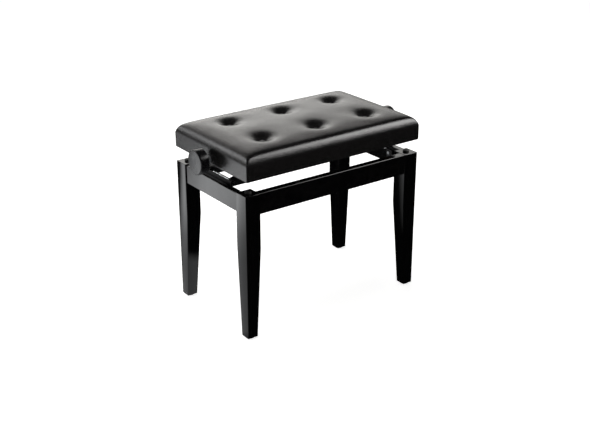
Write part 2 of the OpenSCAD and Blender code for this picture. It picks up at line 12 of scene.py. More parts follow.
import bmesh
import bpy
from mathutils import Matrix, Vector


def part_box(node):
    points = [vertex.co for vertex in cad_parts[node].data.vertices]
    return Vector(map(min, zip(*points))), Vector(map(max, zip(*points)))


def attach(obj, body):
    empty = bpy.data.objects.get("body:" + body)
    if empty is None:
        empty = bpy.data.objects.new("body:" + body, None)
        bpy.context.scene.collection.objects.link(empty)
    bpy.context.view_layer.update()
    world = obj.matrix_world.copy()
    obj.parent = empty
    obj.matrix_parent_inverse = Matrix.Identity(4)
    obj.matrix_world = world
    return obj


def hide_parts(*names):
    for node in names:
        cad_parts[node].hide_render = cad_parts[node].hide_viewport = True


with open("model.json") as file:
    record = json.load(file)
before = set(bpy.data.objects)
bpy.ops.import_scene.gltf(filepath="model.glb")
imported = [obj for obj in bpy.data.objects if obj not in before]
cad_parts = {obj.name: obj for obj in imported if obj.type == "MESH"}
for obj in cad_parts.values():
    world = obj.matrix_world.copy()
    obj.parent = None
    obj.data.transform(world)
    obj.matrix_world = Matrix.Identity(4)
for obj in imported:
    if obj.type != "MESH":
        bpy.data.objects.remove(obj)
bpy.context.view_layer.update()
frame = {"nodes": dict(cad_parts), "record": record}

# %% [markdown]
# ## The camera
# A camera is easiest to place with an azimuth, an elevation and a distance round a target.
# Azimuth 0 looks along +Y, so -36 degrees puts the camera before the front left leg.
# A long lens from nearly three metres keeps the legs almost parallel.

# %% Place the camera
AZIMUTH, ELEVATION, DISTANCE = math.radians(-36.3), math.radians(22.46), 2.828
TARGET = Vector((0.0, 0.0, 0.25))

to_camera = Vector((
    math.sin(AZIMUTH) * math.cos(ELEVATION),
    -math.cos(AZIMUTH) * math.cos(ELEVATION),
    math.sin(ELEVATION),
))
bpy.ops.object.camera_add(location=TARGET + DISTANCE * to_camera)
camera = bpy.context.object
camera.rotation_euler = (-to_camera).to_track_quat("-Z", "Y").to_euler()
camera.data.sensor_width = 36.0
camera.data.lens = 63.76
camera.data.shift_x = -0.0054
camera.data.shift_y = -0.0202
bpy.context.scene.camera = camera
print("camera at", [round(v, 3) for v in camera.location])

# %% [markdown]
# ## Light for black, glossy things
# A glossy black object shows almost nothing of its own colour: it shows the room. So the
# room is what we design. A bright band round the horizon gives the seat its broad pale
# reflection, and a dark ceiling gives the dark bands where the padding rolls over. Two
# glowing cards that only reflections see draw the bright lines along the rim.

# %% The room: a bright horizon under a dark ceiling
world = bpy.data.worlds.new("studio")
bpy.context.scene.world = world
world.use_nodes = True
sky, links = world.node_tree.nodes, world.node_tree.links
where = sky.new("ShaderNodeTexCoord")
split = sky.new("ShaderNodeSeparateXYZ")
band = sky.new("ShaderNodeValToRGB")
BAND = [                      # sine of the elevation, brightness
    (0.00, 1.00), (0.49, 1.00), (0.55, 0.50), (0.60, 0.15), (0.68, 0.02), (1.00, 0.012),
]


def fill_ramp(ramp, stops, warmth=(1.0, 1.0, 1.0)):
    """Sets the stops of a colour ramp from pairs of place and brightness."""
    while len(ramp.elements) < len(stops):
        ramp.elements.new(0.5)
    for stop, (place, light) in zip(ramp.elements, stops):
        stop.position = place
        stop.color = (light * warmth[0], light * warmth[1], light * warmth[2], 1.0)


fill_ramp(band.color_ramp, BAND, (1.0, 0.985, 0.955))
links.new(where.outputs["Object"], split.inputs[0])
links.new(split.outputs["Z"], band.inputs["Fac"])
links.new(band.outputs["Color"], sky["Background"].inputs["Color"])
print("world band", BAND)

# %% [markdown]
# The room isn't equally bright all round. We flatten each direction onto the floor, make
# it one long again, and compare it with the direction of the back wall. Its left end is
# dimmer, so that the seat's left rim keeps a dark edge above its bright line.

# %% Where round the horizon the room is bright
BACK = Vector((-0.17, 0.98, 0.0))
BACK_RANGE = (0.35, 0.75, 0.05, 1.75)          # facing from, to; brightness from, to
LEFT_RANGE = (-0.35, 0.05, 0.10, 1.0)          # sideways from, to; share kept from, to


def set_range(node, numbers):
    """Sets the four ends of a Map Range node."""
    for title, number in zip(("From Min", "From Max", "To Min", "To Max"), numbers):
        node.inputs[title].default_value = number


flatten, lengthen, facing = (sky.new("ShaderNodeVectorMath") for _ in range(3))
flatten.operation = "MULTIPLY"
flatten.inputs[1].default_value = (1.0, 1.0, 0.0)
lengthen.operation = "NORMALIZE"
facing.operation = "DOT_PRODUCT"
facing.inputs[1].default_value = BACK
sideways = sky.new("ShaderNodeSeparateXYZ")
back_light, left_share = (sky.new("ShaderNodeMapRange") for _ in range(2))
set_range(back_light, BACK_RANGE)
set_range(left_share, LEFT_RANGE)
strength = sky.new("ShaderNodeMath")
strength.operation = "MULTIPLY"
links.new(where.outputs["Object"], flatten.inputs[0])
links.new(flatten.outputs["Vector"], lengthen.inputs[0])
links.new(lengthen.outputs["Vector"], facing.inputs[0])
links.new(lengthen.outputs["Vector"], sideways.inputs["Vector"])
links.new(facing.outputs["Value"], back_light.inputs["Value"])
links.new(sideways.outputs["X"], left_share.inputs["Value"])
links.new(back_light.outputs["Result"], strength.inputs[0])
links.new(left_share.outputs["Result"], strength.inputs[1])
links.new(strength.outputs[0], sky["Background"].inputs["Strength"])
bpy.context.scene.view_settings.view_transform = "Standard"
print("bright towards", tuple(BACK))

# %% [markdown]
# ### Two floors
# The floor that the camera sees should be plain white. The floor that the lacquer mirrors
# should not: black furniture photographs best when its front mirrors darkness and its
# left side mirrors a soft bright strip. So there are two planes. The visible one is white
# and hidden from reflections. A hair above it lies one that only reflections see, black
# but for a glowing strip that runs away from the camera, to the left of the bench.

# %% The visible floor
FLOOR_SIZE = 40.0
bpy.ops.mesh.primitive_plane_add(size=FLOOR_SIZE, location=(0.0, 0.0, 0.0))
floor = bpy.context.object
floor.name = "studio_floor"
white = bpy.data.materials.new("floor_white")
white.use_nodes = True
white_shader = white.node_tree.nodes["Principled BSDF"]
white_shader.inputs["Base Color"].default_value = (0.80, 0.80, 0.80, 1.0)
white_shader.inputs["Roughness"].default_value = 0.9
white_shader.inputs["Specular IOR Level"].default_value = 0.0
white_shader.inputs["Emission Color"].default_value = (1.0, 1.0, 1.0, 1.0)
white_shader.inputs["Emission Strength"].default_value = 0.88
floor.data.materials.append(white)
floor.visible_glossy = False
print("floor", FLOOR_SIZE, "m wide")

# %% The lamp overhead, and the two cards that draw the rim's bright lines
bpy.ops.object.light_add(type="AREA", location=(-0.6, 0.8, 2.8))
lamp = bpy.context.object
lamp.name = "top_softbox"
lamp.data.size = 2.6
lamp.data.energy = 70.0
lamp.data.color = (1.0, 0.99, 0.97)
lamp.rotation_euler = (TARGET - lamp.location).to_track_quat("-Z", "Y").to_euler()
lamp.visible_glossy = False


def only_mirrored(thing):
    """Keeps a card out of the picture and out of the lighting: only reflections see it."""
    thing.visible_camera = thing.visible_diffuse = thing.visible_shadow = False
    thing.visible_transmission = thing.visible_volume_scatter = False


def glowing_card(name, place, size, glow, colour):
    """A square card that faces the seat and shines with an even light."""
    bpy.ops.mesh.primitive_plane_add(size=size, location=place)
    card = bpy.context.object
    card.name = name
    card.rotation_euler = (TARGET - Vector(place)).to_track_quat("Z", "Y").to_euler()
    shine = bpy.data.materials.new(name)
    shine.use_nodes = True
    shader = shine.node_tree.nodes["Principled BSDF"]
    shader.inputs["Base Color"].default_value = (0.0, 0.0, 0.0, 1.0)
    shader.inputs["Emission Color"].default_value = (*colour, 1.0)
    shader.inputs["Emission Strength"].default_value = glow
    card.data.materials.append(shine)
    only_mirrored(card)


glowing_card("front_edge_softbox", (2.29, -1.64, 2.16), 2.0, 8.0, (1.0, 0.99, 0.98))
glowing_card("left_edge_softbox", (-1.85, 2.25, 1.75), 0.9, 5.0, (0.98, 0.99, 1.0))
print("lamps ready")

# %% The floor that only reflections see
AWAY = Vector((to_camera.x, to_camera.y, 0.0)).normalized()
AWAY = Vector((AWAY.x, -AWAY.y, 0.0))          # where an upright left face sends the view
ACROSS = Vector((AWAY.y, -AWAY.x, 0.0))        # square to it, towards the right
STRIP_FROM, STRIP_TO = -0.60, 0.20             # metres across
STRIP = [                                      # share of that width, brightness
    (0.00, 0.70), (0.38, 0.80), (0.60, 1.00), (0.70, 0.50), (0.79, 0.02), (1.00, 0.0),
]
FADE_TO = 1.10                                 # metres away from the bench
FADE = [                                       # share of that way, brightness
    (0.00, 0.00), (0.02, 0.00), (0.07, 0.30), (0.45, 0.30), (0.51, 0.35), (0.62, 0.45),
    (0.68, 0.60), (0.82, 0.90), (0.91, 1.00),
]
MIRROR_LIFT = 0.0015                           # height above the visible floor
STRIP_GLOW = 2.4
bpy.ops.mesh.primitive_plane_add(size=FLOOR_SIZE, location=(0.0, 0.0, MIRROR_LIFT))
mirrored_floor = bpy.context.object
mirrored_floor.name = "reflected_floor"
glow = bpy.data.materials.new("reflected_strip")
glow.use_nodes = True
shades, joins = glow.node_tree.nodes, glow.node_tree.links
shades.remove(shades["Principled BSDF"])
lamp_side = shades.new("ShaderNodeEmission")
spot = shades.new("ShaderNodeTexCoord")


def ramp_along(direction, low, high, stops, colour):
    """A ramp of brightness along a direction on the floor, between two distances."""
    dot = shades.new("ShaderNodeVectorMath")
    dot.operation = "DOT_PRODUCT"
    dot.inputs[1].default_value = direction
    share = shades.new("ShaderNodeMapRange")
    share.inputs["From Min"].default_value = low
    share.inputs["From Max"].default_value = high
    ramp = shades.new("ShaderNodeValToRGB")
    fill_ramp(ramp.color_ramp, stops, colour)
    joins.new(spot.outputs["Object"], dot.inputs[0])
    joins.new(dot.outputs["Value"], share.inputs["Value"])
    joins.new(share.outputs["Result"], ramp.inputs["Fac"])
    return ramp.outputs["Color"]


strip = ramp_along(ACROSS, STRIP_FROM, STRIP_TO, STRIP, (0.97, 0.985, 1.0))
fade = ramp_along(AWAY, 0.0, FADE_TO, FADE, (1.0, 1.0, 1.0))
brightness = shades.new("ShaderNodeMath")
brightness.operation = "MULTIPLY"
brightness.inputs[1].default_value = STRIP_GLOW
joins.new(strip, lamp_side.inputs["Color"])
joins.new(fade, brightness.inputs[0])
joins.new(brightness.outputs[0], lamp_side.inputs["Strength"])
joins.new(lamp_side.outputs["Emission"], shades["Material Output"].inputs["Surface"])
mirrored_floor.data.materials.append(glow)
only_mirrored(mirrored_floor)
print("reflected strip runs towards", [round(v, 2) for v in AWAY])

# %% [markdown]
# ## Small helpers for work by hand
# Most steps are the ones you would do with the mouse: add a primitive, go into edit mode,
# pick faces or edges, and run an operator. With no mouse, we pick by place and direction.


# %% Helpers: add, pick, finish
def put_down_everything():
    """Leaves edit mode and deselects all, because an operator acts on all that is selected."""
    if bpy.context.object and bpy.context.object.mode != "OBJECT":
        bpy.ops.object.mode_set(mode="OBJECT")
    bpy.ops.object.select_all(action="DESELECT")


def only(piece):
    put_down_everything()
    piece.select_set(True)
    bpy.context.view_layer.objects.active = piece
    return piece


def fix_place(piece, name):
    """Names a piece and puts its place, turn and size into its mesh."""
    only(piece)
    piece.name = piece.data.name = name
    bpy.ops.object.transform_apply(location=True, rotation=True, scale=True)
    return piece


def block(name, low, high):
    """A cube primitive stretched between two corners."""
    put_down_everything()
    low, high = Vector(low), Vector(high)
    bpy.ops.mesh.primitive_cube_add(size=1.0, location=(low + high) / 2)
    bpy.context.object.scale = high - low
    return fix_place(bpy.context.object, name)


def edit(piece):
    only(piece)
    bpy.ops.object.mode_set(mode="EDIT")
    bpy.ops.mesh.select_all(action="DESELECT")


def pick(kind, test):
    """Selects the VERT, EDGE or FACE elements of the mesh being edited that pass a test."""
    bpy.ops.mesh.select_mode(type=kind)
    bpy.ops.mesh.select_all(action="DESELECT")
    mesh = bmesh.from_edit_mesh(bpy.context.edit_object.data)
    parts = {"VERT": mesh.verts, "EDGE": mesh.edges, "FACE": mesh.faces}[kind]
    for part in parts:
        if test(part):
            part.select_set(True)
    mesh.select_flush_mode()
    bmesh.update_edit_mesh(bpy.context.edit_object.data)


def apply_all(piece):
    only(piece)
    for modifier in list(piece.modifiers):
        bpy.ops.object.modifier_apply(modifier=modifier.name)


def soften_edges(piece, width, segments=4):
    """Rounds every sharp edge, with flat faces kept flat to the eye by hardened normals."""
    bevel = piece.modifiers.new("rounded_edges", "BEVEL")
    bevel.width = width
    bevel.segments = segments
    bevel.limit_method = "ANGLE"
    bevel.angle_limit = math.radians(30)
    bevel.harden_normals = True
    only(piece)
    bpy.ops.object.shade_smooth()
    apply_all(piece)


def face_outwards(piece):
    edit(piece)
    bpy.ops.mesh.select_all(action="SELECT")
    bpy.ops.mesh.normals_make_consistent(inside=False)
    put_down_everything()


def finish_piece(piece, body, slot, *nodes):
    """Gives a finished piece its body and hides the CAD nodes that it stands for. The slot
    argument is not used.
    """
    put_down_everything()
    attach(piece, body)
    if nodes:
        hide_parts(*nodes)
    print(f"{piece.name}: {len(piece.data.polygons)} faces, rides on {body}")
    return piece


# %% [markdown]
# ## Finishes
# An effect that several finishes share is a node group, made once: leather grain, a fine
# ripple, smudges, and wear on edges. A group only hands out colours, masks and values.
# The shader stays in the material, where the gloss is set.


# %% Node group helpers
def new_group(name, inputs, outputs):
    """An empty shader node group whose sockets are named and have starting values."""
    group = bpy.data.node_groups.new(name, "ShaderNodeTree")
    for title, start in inputs:
        socket = group.interface.new_socket(title, in_out="INPUT", socket_type="NodeSocketFloat")
        socket.default_value = start
    for title in outputs:
        group.interface.new_socket(title, in_out="OUTPUT", socket_type="NodeSocketFloat")
    ends = group.nodes.new("NodeGroupInput"), group.nodes.new("NodeGroupOutput")
    return group, ends[0], ends[1]


def object_coordinates(tree):
    return tree.nodes.new("ShaderNodeTexCoord").outputs["Object"]


def noise(tree, vector, scale, detail=3.0, roughness=0.5):
    """A noise texture. Scale is a number, or the socket that gives it."""
    texture = tree.nodes.new("ShaderNodeTexNoise")
    tree.links.new(vector, texture.inputs["Vector"])
    texture.inputs["Detail"].default_value = detail
    texture.inputs["Roughness"].default_value = roughness
    if hasattr(scale, "node"):
        tree.links.new(scale, texture.inputs["Scale"])
    else:
        texture.inputs["Scale"].default_value = scale
    return texture.outputs["Fac"]


def mapped(tree, value, low, high, to_low, to_high):
    """Stretches a value from one range to another and keeps it inside."""
    node = tree.nodes.new("ShaderNodeMapRange")
    tree.links.new(value, node.inputs["Value"])
    for title, number in zip(("From Min", "From Max", "To Min", "To Max"),
                             (low, high, to_low, to_high)):
        if hasattr(number, "node"):
            tree.links.new(number, node.inputs[title])
        else:
            node.inputs[title].default_value = number
    return node.outputs["Result"]


def maths(tree, operation, first, second):
    node = tree.nodes.new("ShaderNodeMath")
    node.operation = operation
    for socket, value in zip(node.inputs, (first, second)):
        if hasattr(value, "node"):
            tree.links.new(value, socket)
        else:
            socket.default_value = value
    return node.outputs[0]


# %% Group: leather grain, small rounded cells with finer creases between
def make_grain_group():
    group, given, result = new_group(
        "leather_grain", [("Scale", 900.0), ("Crease", 0.5)], ["Height", "ShadedValleys"])
    place = object_coordinates(group)
    cells = group.nodes.new("ShaderNodeTexVoronoi")
    cells.feature = "DISTANCE_TO_EDGE"
    group.links.new(place, cells.inputs["Vector"])
    group.links.new(given.outputs["Scale"], cells.inputs["Scale"])
    domes = mapped(group, cells.outputs["Distance"], 0.0, 0.28, 0.0, 1.0)
    fine = noise(group, place, maths(group, "MULTIPLY", given.outputs["Scale"], 0.35), 4.0, 0.6)
    crease = maths(group, "MULTIPLY", fine, given.outputs["Crease"])
    group.links.new(maths(group, "ADD", domes, crease), result.inputs["Height"])
    # The second output is 1 in the valleys between the cells: the mask that the leatherette uses
    # for painted shade.
    group.links.new(mapped(group, cells.outputs["Distance"], 0.0, 0.12, 1.0, 0.0),
                    result.inputs["ShadedValleys"])
    return group


# %% Group: ripple, the slow unevenness of a hand-polished or stretched surface
def make_ripple_group():
    group, given, result = new_group("slow_ripple", [("Scale", 12.0)], ["Height"])
    place = object_coordinates(group)
    group.links.new(noise(group, place, given.outputs["Scale"], 1.5, 0.4), result.inputs["Height"])
    return group


# %% Group: smudges, patches where hands and cloths have left the gloss a little duller
def make_smudge_group():
    group, given, result = new_group(
        "smudges", [("Scale", 9.0), ("Clean", 0.1), ("Dull", 0.2)], ["Roughness", "Mask"])
    place = object_coordinates(group)
    patches = noise(group, place, given.outputs["Scale"], 4.0, 0.62)
    mask = mapped(group, patches, 0.42, 0.68, 0.0, 1.0)
    group.links.new(mapped(group, mask, 0.0, 1.0, given.outputs["Clean"], given.outputs["Dull"]),
                    result.inputs["Roughness"])
    group.links.new(mask, result.inputs["Mask"])
    return group


# %% Group: edge wear, where corners are rubbed
def make_wear_group():
    group, given, result = new_group("edge_wear", [("Amount", 0.5), ("Scale", 60.0)], ["Mask"])
    shape = group.nodes.new("ShaderNodeNewGeometry")
    ridge = mapped(group, shape.outputs["Pointiness"], 0.53, 0.62, 0.0, 1.0)
    patchy = mapped(group, noise(group, object_coordinates(group), given.outputs["Scale"], 5.0),
                    0.40, 0.66, 0.0, 1.0)
    worn = maths(group, "MULTIPLY", maths(group, "MULTIPLY", ridge, patchy),
                 given.outputs["Amount"])
    group.links.new(worn, result.inputs["Mask"])
    return group


GRAIN, RIPPLE = make_grain_group(), make_ripple_group()
SMUDGES, WEAR = make_smudge_group(), make_wear_group()
print("groups", [g.name for g in (GRAIN, RIPPLE, SMUDGES, WEAR)])


# %% Helpers that use the groups in a material
def new_finish(name, colour, roughness, specular=0.5, metallic=0.0):
    """A material and its Principled shader, with the values that are the same all over."""
    finish = bpy.data.materials.new(name)
    finish.use_nodes = True
    shader = finish.node_tree.nodes["Principled BSDF"]
    shader.inputs["Base Color"].default_value = (*colour, 1.0)
    shader.inputs["Roughness"].default_value = roughness
    shader.inputs["Specular IOR Level"].default_value = specular
    shader.inputs["Metallic"].default_value = metallic
    return finish, finish.node_tree, shader


def use(tree, group, **values):
    node = tree.nodes.new("ShaderNodeGroup")
    node.node_tree = group
    for title, value in values.items():
        node.inputs[title].default_value = value
    return node.outputs


def bump(tree, shader, height, strength, distance, below=None):
    node = tree.nodes.new("ShaderNodeBump")
    node.inputs["Strength"].default_value = strength
    node.inputs["Distance"].default_value = distance
    tree.links.new(height, node.inputs["Height"])
    if below is not None:
        tree.links.new(below, node.inputs["Normal"])
    tree.links.new(node.outputs["Normal"], shader.inputs["Normal"])
    return node.outputs["Normal"]


def tint(tree, shader, mask, colour, tinted):
    """Base colour that goes from one colour to another where the mask says."""
    mix = tree.nodes.new("ShaderNodeMix")
    mix.data_type = "RGBA"
    tree.links.new(mask, mix.inputs["Factor"])
    mix.inputs["A"].default_value = (*colour, 1.0)
    mix.inputs["B"].default_value = (*tinted, 1.0)
    tree.links.new(mix.outputs["Result"], shader.inputs["Base Color"])


# %% [markdown]
# ### Black lacquer
# Polyester lacquer is a thick clear gloss over black. Its mirror is nearly sharp, yet
# sanding and polishing leave a slow ripple that bends reflections. A light rub shows on
# the edges, and faint smudges change the gloss.


# %% Make the lacquer
def make_lacquer():
    finish, tree, shader = new_finish("black_lacquer", (0.0012, 0.0012, 0.0014), 0.08)
    smudge = use(tree, SMUDGES, Scale=14.0, Clean=0.05, Dull=0.12)
    wear = use(tree, WEAR, Amount=0.5, Scale=90.0)
    tree.links.new(smudge["Roughness"], shader.inputs["Roughness"])
    tint(tree, shader, wear["Mask"], (0.0012, 0.0012, 0.0014), (0.02, 0.019, 0.018))
    bump(tree, shader, use(tree, RIPPLE, Scale=22.0)["Height"], 0.10, 0.002)
    return finish


# %% [markdown]
# ### Leatherette
# The cover is vinyl with an embossed grain. Fine cells break the reflection up a little,
# and the valleys between them are painted darker, as painted shade. The film has a slow
# unevenness where it is stretched over the foam.


# %% Make the leatherette
def make_leatherette():
    black = (0.0085, 0.0080, 0.0080)
    finish, tree, shader = new_finish("black_leatherette", black, 0.3, 0.55)
    grain = use(tree, GRAIN, Scale=720.0, Crease=0.5)
    smudge = use(tree, SMUDGES, Scale=11.0, Clean=0.20, Dull=0.25)
    tree.links.new(smudge["Roughness"], shader.inputs["Roughness"])
    # Painted shade: the recessed valleys of the grain are painted darker.
    tint(tree, shader, grain["ShadedValleys"], black, (0.0025, 0.0025, 0.0025))
    slow = bump(tree, shader, use(tree, RIPPLE, Scale=16.0)["Height"], 0.25, 0.003)
    bump(tree, shader, grain["Height"], 0.18, 0.0004, below=slow)
    return finish


# %% [markdown]
# ### Steel, plastic, rubber, board and thread
# The lift is pressed steel painted black, with zinc-plated pins and screws. Knobs are
# moulded plastic with a satin face and a glossy rim; here one satin finish covers the whole
# knob. Rubber, nylon, plywood, foam and twine are seen only from below, yet each has its
# own grain.


# %% Make the metals
def make_painted_steel():
    black = (0.007, 0.007, 0.008)
    finish, tree, shader = new_finish("painted_steel", black, 0.35, 0.28)
    smudge = use(tree, SMUDGES, Scale=24.0, Clean=0.32, Dull=0.42)
    tree.links.new(smudge["Roughness"], shader.inputs["Roughness"])
    tint(tree, shader, smudge["Mask"], black, (0.012, 0.012, 0.013))
    bump(tree, shader, use(tree, RIPPLE, Scale=320.0)["Height"], 0.04, 0.0003)
    return finish


def make_zinc():
    finish, tree, shader = new_finish("zinc_plate", (0.62, 0.63, 0.64), 0.3, metallic=1.0)
    smudge = use(tree, SMUDGES, Scale=180.0, Clean=0.22, Dull=0.42)
    tree.links.new(smudge["Roughness"], shader.inputs["Roughness"])
    tint(tree, shader, smudge["Mask"], (0.62, 0.63, 0.64), (0.46, 0.47, 0.47))
    return finish


# %% Make the plastics and rubber
def make_knob_plastic():
    finish, tree, shader = new_finish("knob_plastic", (0.0045, 0.0045, 0.0055), 0.3)
    smudge = use(tree, SMUDGES, Scale=30.0, Clean=0.22, Dull=0.34)
    wear = use(tree, WEAR, Amount=0.6, Scale=140.0)
    tree.links.new(smudge["Roughness"], shader.inputs["Roughness"])
    tint(tree, shader, wear["Mask"], (0.0045, 0.0045, 0.0055), (0.04, 0.04, 0.045))
    bump(tree, shader, use(tree, RIPPLE, Scale=1400.0)["Height"], 0.10, 0.0003)
    return finish


def make_rubber():
    finish, tree, shader = new_finish("matte_rubber", (0.014, 0.014, 0.014), 0.75)
    smudge = use(tree, SMUDGES, Scale=70.0, Clean=0.62, Dull=0.85)
    tree.links.new(smudge["Roughness"], shader.inputs["Roughness"])
    tint(tree, shader, smudge["Mask"], (0.014, 0.014, 0.014), (0.035, 0.034, 0.032))
    bump(tree, shader, use(tree, RIPPLE, Scale=1600.0)["Height"], 0.3, 0.0004)
    return finish


def make_nylon():
    finish, tree, shader = new_finish("grey_nylon", (0.10, 0.105, 0.11), 0.45)
    smudge = use(tree, SMUDGES, Scale=90.0, Clean=0.38, Dull=0.55)
    tree.links.new(smudge["Roughness"], shader.inputs["Roughness"])
    tint(tree, shader, smudge["Mask"], (0.10, 0.105, 0.11), (0.15, 0.155, 0.16))
    return finish


# %% Make the plywood, foam and twine
def make_plywood():
    # Both tones are a near-black brown, far darker than bare plywood, so the inside of the box
    # shows dark.
    light, dark = (0.055, 0.038, 0.024), (0.022, 0.015, 0.010)
    finish, tree, shader = new_finish("plywood", light, 0.65)
    stretch = tree.nodes.new("ShaderNodeMapping")
    stretch.inputs["Scale"].default_value = (3.0, 60.0, 60.0)
    tree.links.new(object_coordinates(tree), stretch.inputs["Vector"])
    streaks = noise(tree, stretch.outputs["Vector"], 2.2, 6.0, 0.65)
    tint(tree, shader, mapped(tree, streaks, 0.35, 0.7, 0.0, 1.0), light, dark)
    bump(tree, shader, streaks, 0.25, 0.0006)
    return finish


def make_foam():
    finish, tree, shader = new_finish("cream_foam", (0.70, 0.62, 0.42), 0.9)
    pores = noise(tree, object_coordinates(tree), 700.0, 2.0)
    tint(tree, shader, mapped(tree, pores, 0.45, 0.6, 0.0, 1.0),
         (0.70, 0.62, 0.42), (0.45, 0.38, 0.24))
    bump(tree, shader, pores, 0.6, 0.001)
    return finish


def make_twine():
    finish, tree, shader = new_finish("waxed_twine", (0.52, 0.47, 0.36), 0.6)
    fibres = noise(tree, object_coordinates(tree), 1800.0, 3.0)
    tint(tree, shader, fibres, (0.60, 0.55, 0.43), (0.34, 0.30, 0.22))
    bump(tree, shader, fibres, 0.5, 0.0005)
    return finish


FINISHES = {
    "black_lacquer": make_lacquer(),
    "leatherette": make_leatherette(),
    "painted_steel": make_painted_steel(),
    "zinc_steel": make_zinc(),
    "black_plastic": make_knob_plastic(),
    "black_rubber": make_rubber(),
    "grey_nylon": make_nylon(),
    "plywood": make_plywood(),
    "foam": make_foam(),
    "twine": make_twine(),
}
print("finishes", sorted(FINISHES))


def dress(piece, finish_name):
    piece.data.materials.clear()
    piece.data.materials.append(FINISHES[finish_name])


# %% [markdown]
# ## Legs
# Each leg is a square post whose lower part tapers on its two inner faces, so its outer
# corner stays upright. We start from a cube, cut it with a bisect where the taper begins,
# and shrink the bottom face towards the outer corner. A bevel then rounds the edges,
# which is what catches the light on lacquer.

# %% Model one leg, then the four
LEG_EDGE = 0.0014
FOOT_EDGE = 0.0010
LEG_STRAIGHT = 0.146          # length that keeps its full side, down from the top
FOOT_SIDE, TOP_SIDE = 0.0294, 0.0430
foot_share = FOOT_SIDE / TOP_SIDE
taper_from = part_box("leg_front_left")[1].z - LEG_STRAIGHT


def make_leg(node, end, side):
    low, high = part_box(node)
    piece = block(node + "_lacquered", low, high)
    corner = Vector((low.x if end < 0 else high.x, low.y if side < 0 else high.y, low.z))
    edit(piece)
    bpy.ops.mesh.select_all(action="SELECT")
    bpy.ops.mesh.bisect(plane_co=(0.0, 0.0, taper_from), plane_no=(0.0, 0.0, 1.0))
    pick("VERT", lambda v: v.co.z < low.z + 0.001)
    bpy.ops.transform.resize(value=(foot_share, foot_share, 1.0), center_override=corner)
    pick("EDGE", lambda e: abs(e.verts[0].co.z - e.verts[1].co.z) > 0.01)
    bpy.ops.mesh.bevel(offset=LEG_EDGE, offset_type="OFFSET", segments=5, profile=0.5)
    put_down_everything()
    soften_edges(piece, FOOT_EDGE, 3)
    dress(piece, "black_lacquer")
    return finish_piece(piece, "frame", "black_lacquer", node)


for end, end_name in ((-1, "left"), (1, "right")):
    for side, side_name in ((-1, "front"), (1, "rear")):
        make_leg(f"leg_{side_name}_{end_name}", end, side)

# %% [markdown]
# ## Aprons
# The four aprons are plain rails between the legs. A cube is enough, but a sharp cube
# looks false: the top edges are eased, and that thin rounded line is the brightest thing
# on the whole frame.

# %% Model the aprons
APRON_EDGE = 0.0018


def make_apron(node):
    low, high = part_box(node)
    piece = block(node + "_lacquered", low, high)
    soften_edges(piece, APRON_EDGE, 3)
    dress(piece, "black_lacquer")
    return finish_piece(piece, "frame", "black_lacquer", node)


for side_name in ("front", "rear", "left", "right"):
    make_apron("apron_" + side_name)

# %% [markdown]
# ## Knobs
# A knob is turned, so a cylinder is the natural start. A bevel rounds the rim of its flat
# face, and insets of the back face give the dished back and the hub.

# %% Model one knob along +X, and its mirror at the other end
KNOB_SEGMENTS = 96
KNOB_DEPTH = 0.024            # from the flat face to the back rim
KNOB_RIM = 0.0036             # rounding between the flat face and the side
BACK_WALL = 0.0042            # width of the back rim
BACK_DISH = 0.0060            # depth of the hollow inside it
DISH_SLOPE = 0.0008           # how far the hollow's wall leans in
HUB_RADIUS = 0.0138
HUB_SLOPE = 0.0006


def make_knob(node, end):
    low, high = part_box(node)
    axis_z = (low.z + high.z) / 2
    radius = (high.z - low.z) / 2
    hub_end, face = (high.x, low.x) if end < 0 else (low.x, high.x)
    back = face - end * KNOB_DEPTH
    put_down_everything()
    bpy.ops.mesh.primitive_cylinder_add(
        vertices=KNOB_SEGMENTS, radius=radius, depth=abs(face - back),
        location=((face + back) / 2, 0.0, axis_z), rotation=(0.0, end * math.pi / 2, 0.0))
    piece = fix_place(bpy.context.object, node + "_moulded")

    def on_face(x):
        return lambda f: abs(f.calc_center_median().x - x) < 1e-4 and abs(f.normal.x) > 0.9

    edit(piece)
    pick("EDGE", lambda e: all(abs(v.co.x - face) < 1e-4 for v in e.verts))
    bpy.ops.mesh.bevel(offset=KNOB_RIM, segments=7, profile=0.5)
    pick("FACE", on_face(back))
    bpy.ops.mesh.inset(thickness=BACK_WALL, depth=0.0)
    bpy.ops.mesh.inset(thickness=DISH_SLOPE, depth=-BACK_DISH)
    bpy.ops.mesh.inset(thickness=radius - BACK_WALL - DISH_SLOPE - HUB_RADIUS, depth=0.0)
    bpy.ops.mesh.inset(thickness=HUB_SLOPE, depth=BACK_DISH)
    bpy.ops.mesh.extrude_region_move(TRANSFORM_OT_translate={"value": (hub_end - back, 0.0, 0.0)})
    put_down_everything()
    soften_edges(piece, 0.0012, 3)
    dress(piece, "black_plastic")
    return finish_piece(piece, "screw", "black_plastic", node)


make_knob("knob_left", -1)
make_knob("knob_right", 1)

# %% [markdown]
# ## The tufted cover
# This is the piece the eye goes to. Real upholstery is a flat sheet pulled over foam and
# held by buttons, so its shape comes from tension: full between the buttons, pulled into
# soft pits at them, and rolled over at the rim. We lay a grid over the seat, roll its rim
# and press the six pits in, and drop its border down as the sides. Then a cloth
# simulation with air pressure finds the stretched shape. The sides and the button spots
# are held, as the staples and the buttons hold them.

# %% Measures of the seat, from the frame
cover_low, cover_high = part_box("cover")
board_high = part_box("top_board")[1]
hem_in_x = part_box("side_board_right")[0].x         # inner faces of the side boards
hem_in_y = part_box("side_board_rear")[0].y
box_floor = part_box("side_board_front")[0].z        # underside of the side boards
half_x, half_y = cover_high.x, cover_high.y
shoulder = board_high.z                            # where the upright side ends
button_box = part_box("buttons")
button_radius = 0.0095
column_x = button_box[1].x - button_radius
row_y = button_box[1].y - button_radius
button_foot = button_box[0].z
TUFTS = [(x, y) for x in (-column_x, 0.0, column_x) for y in (-row_y, row_y)]
print("cover", round(2 * half_x, 4), "x", round(2 * half_y, 4),
      "crown", round(cover_high.z - shoulder, 4))


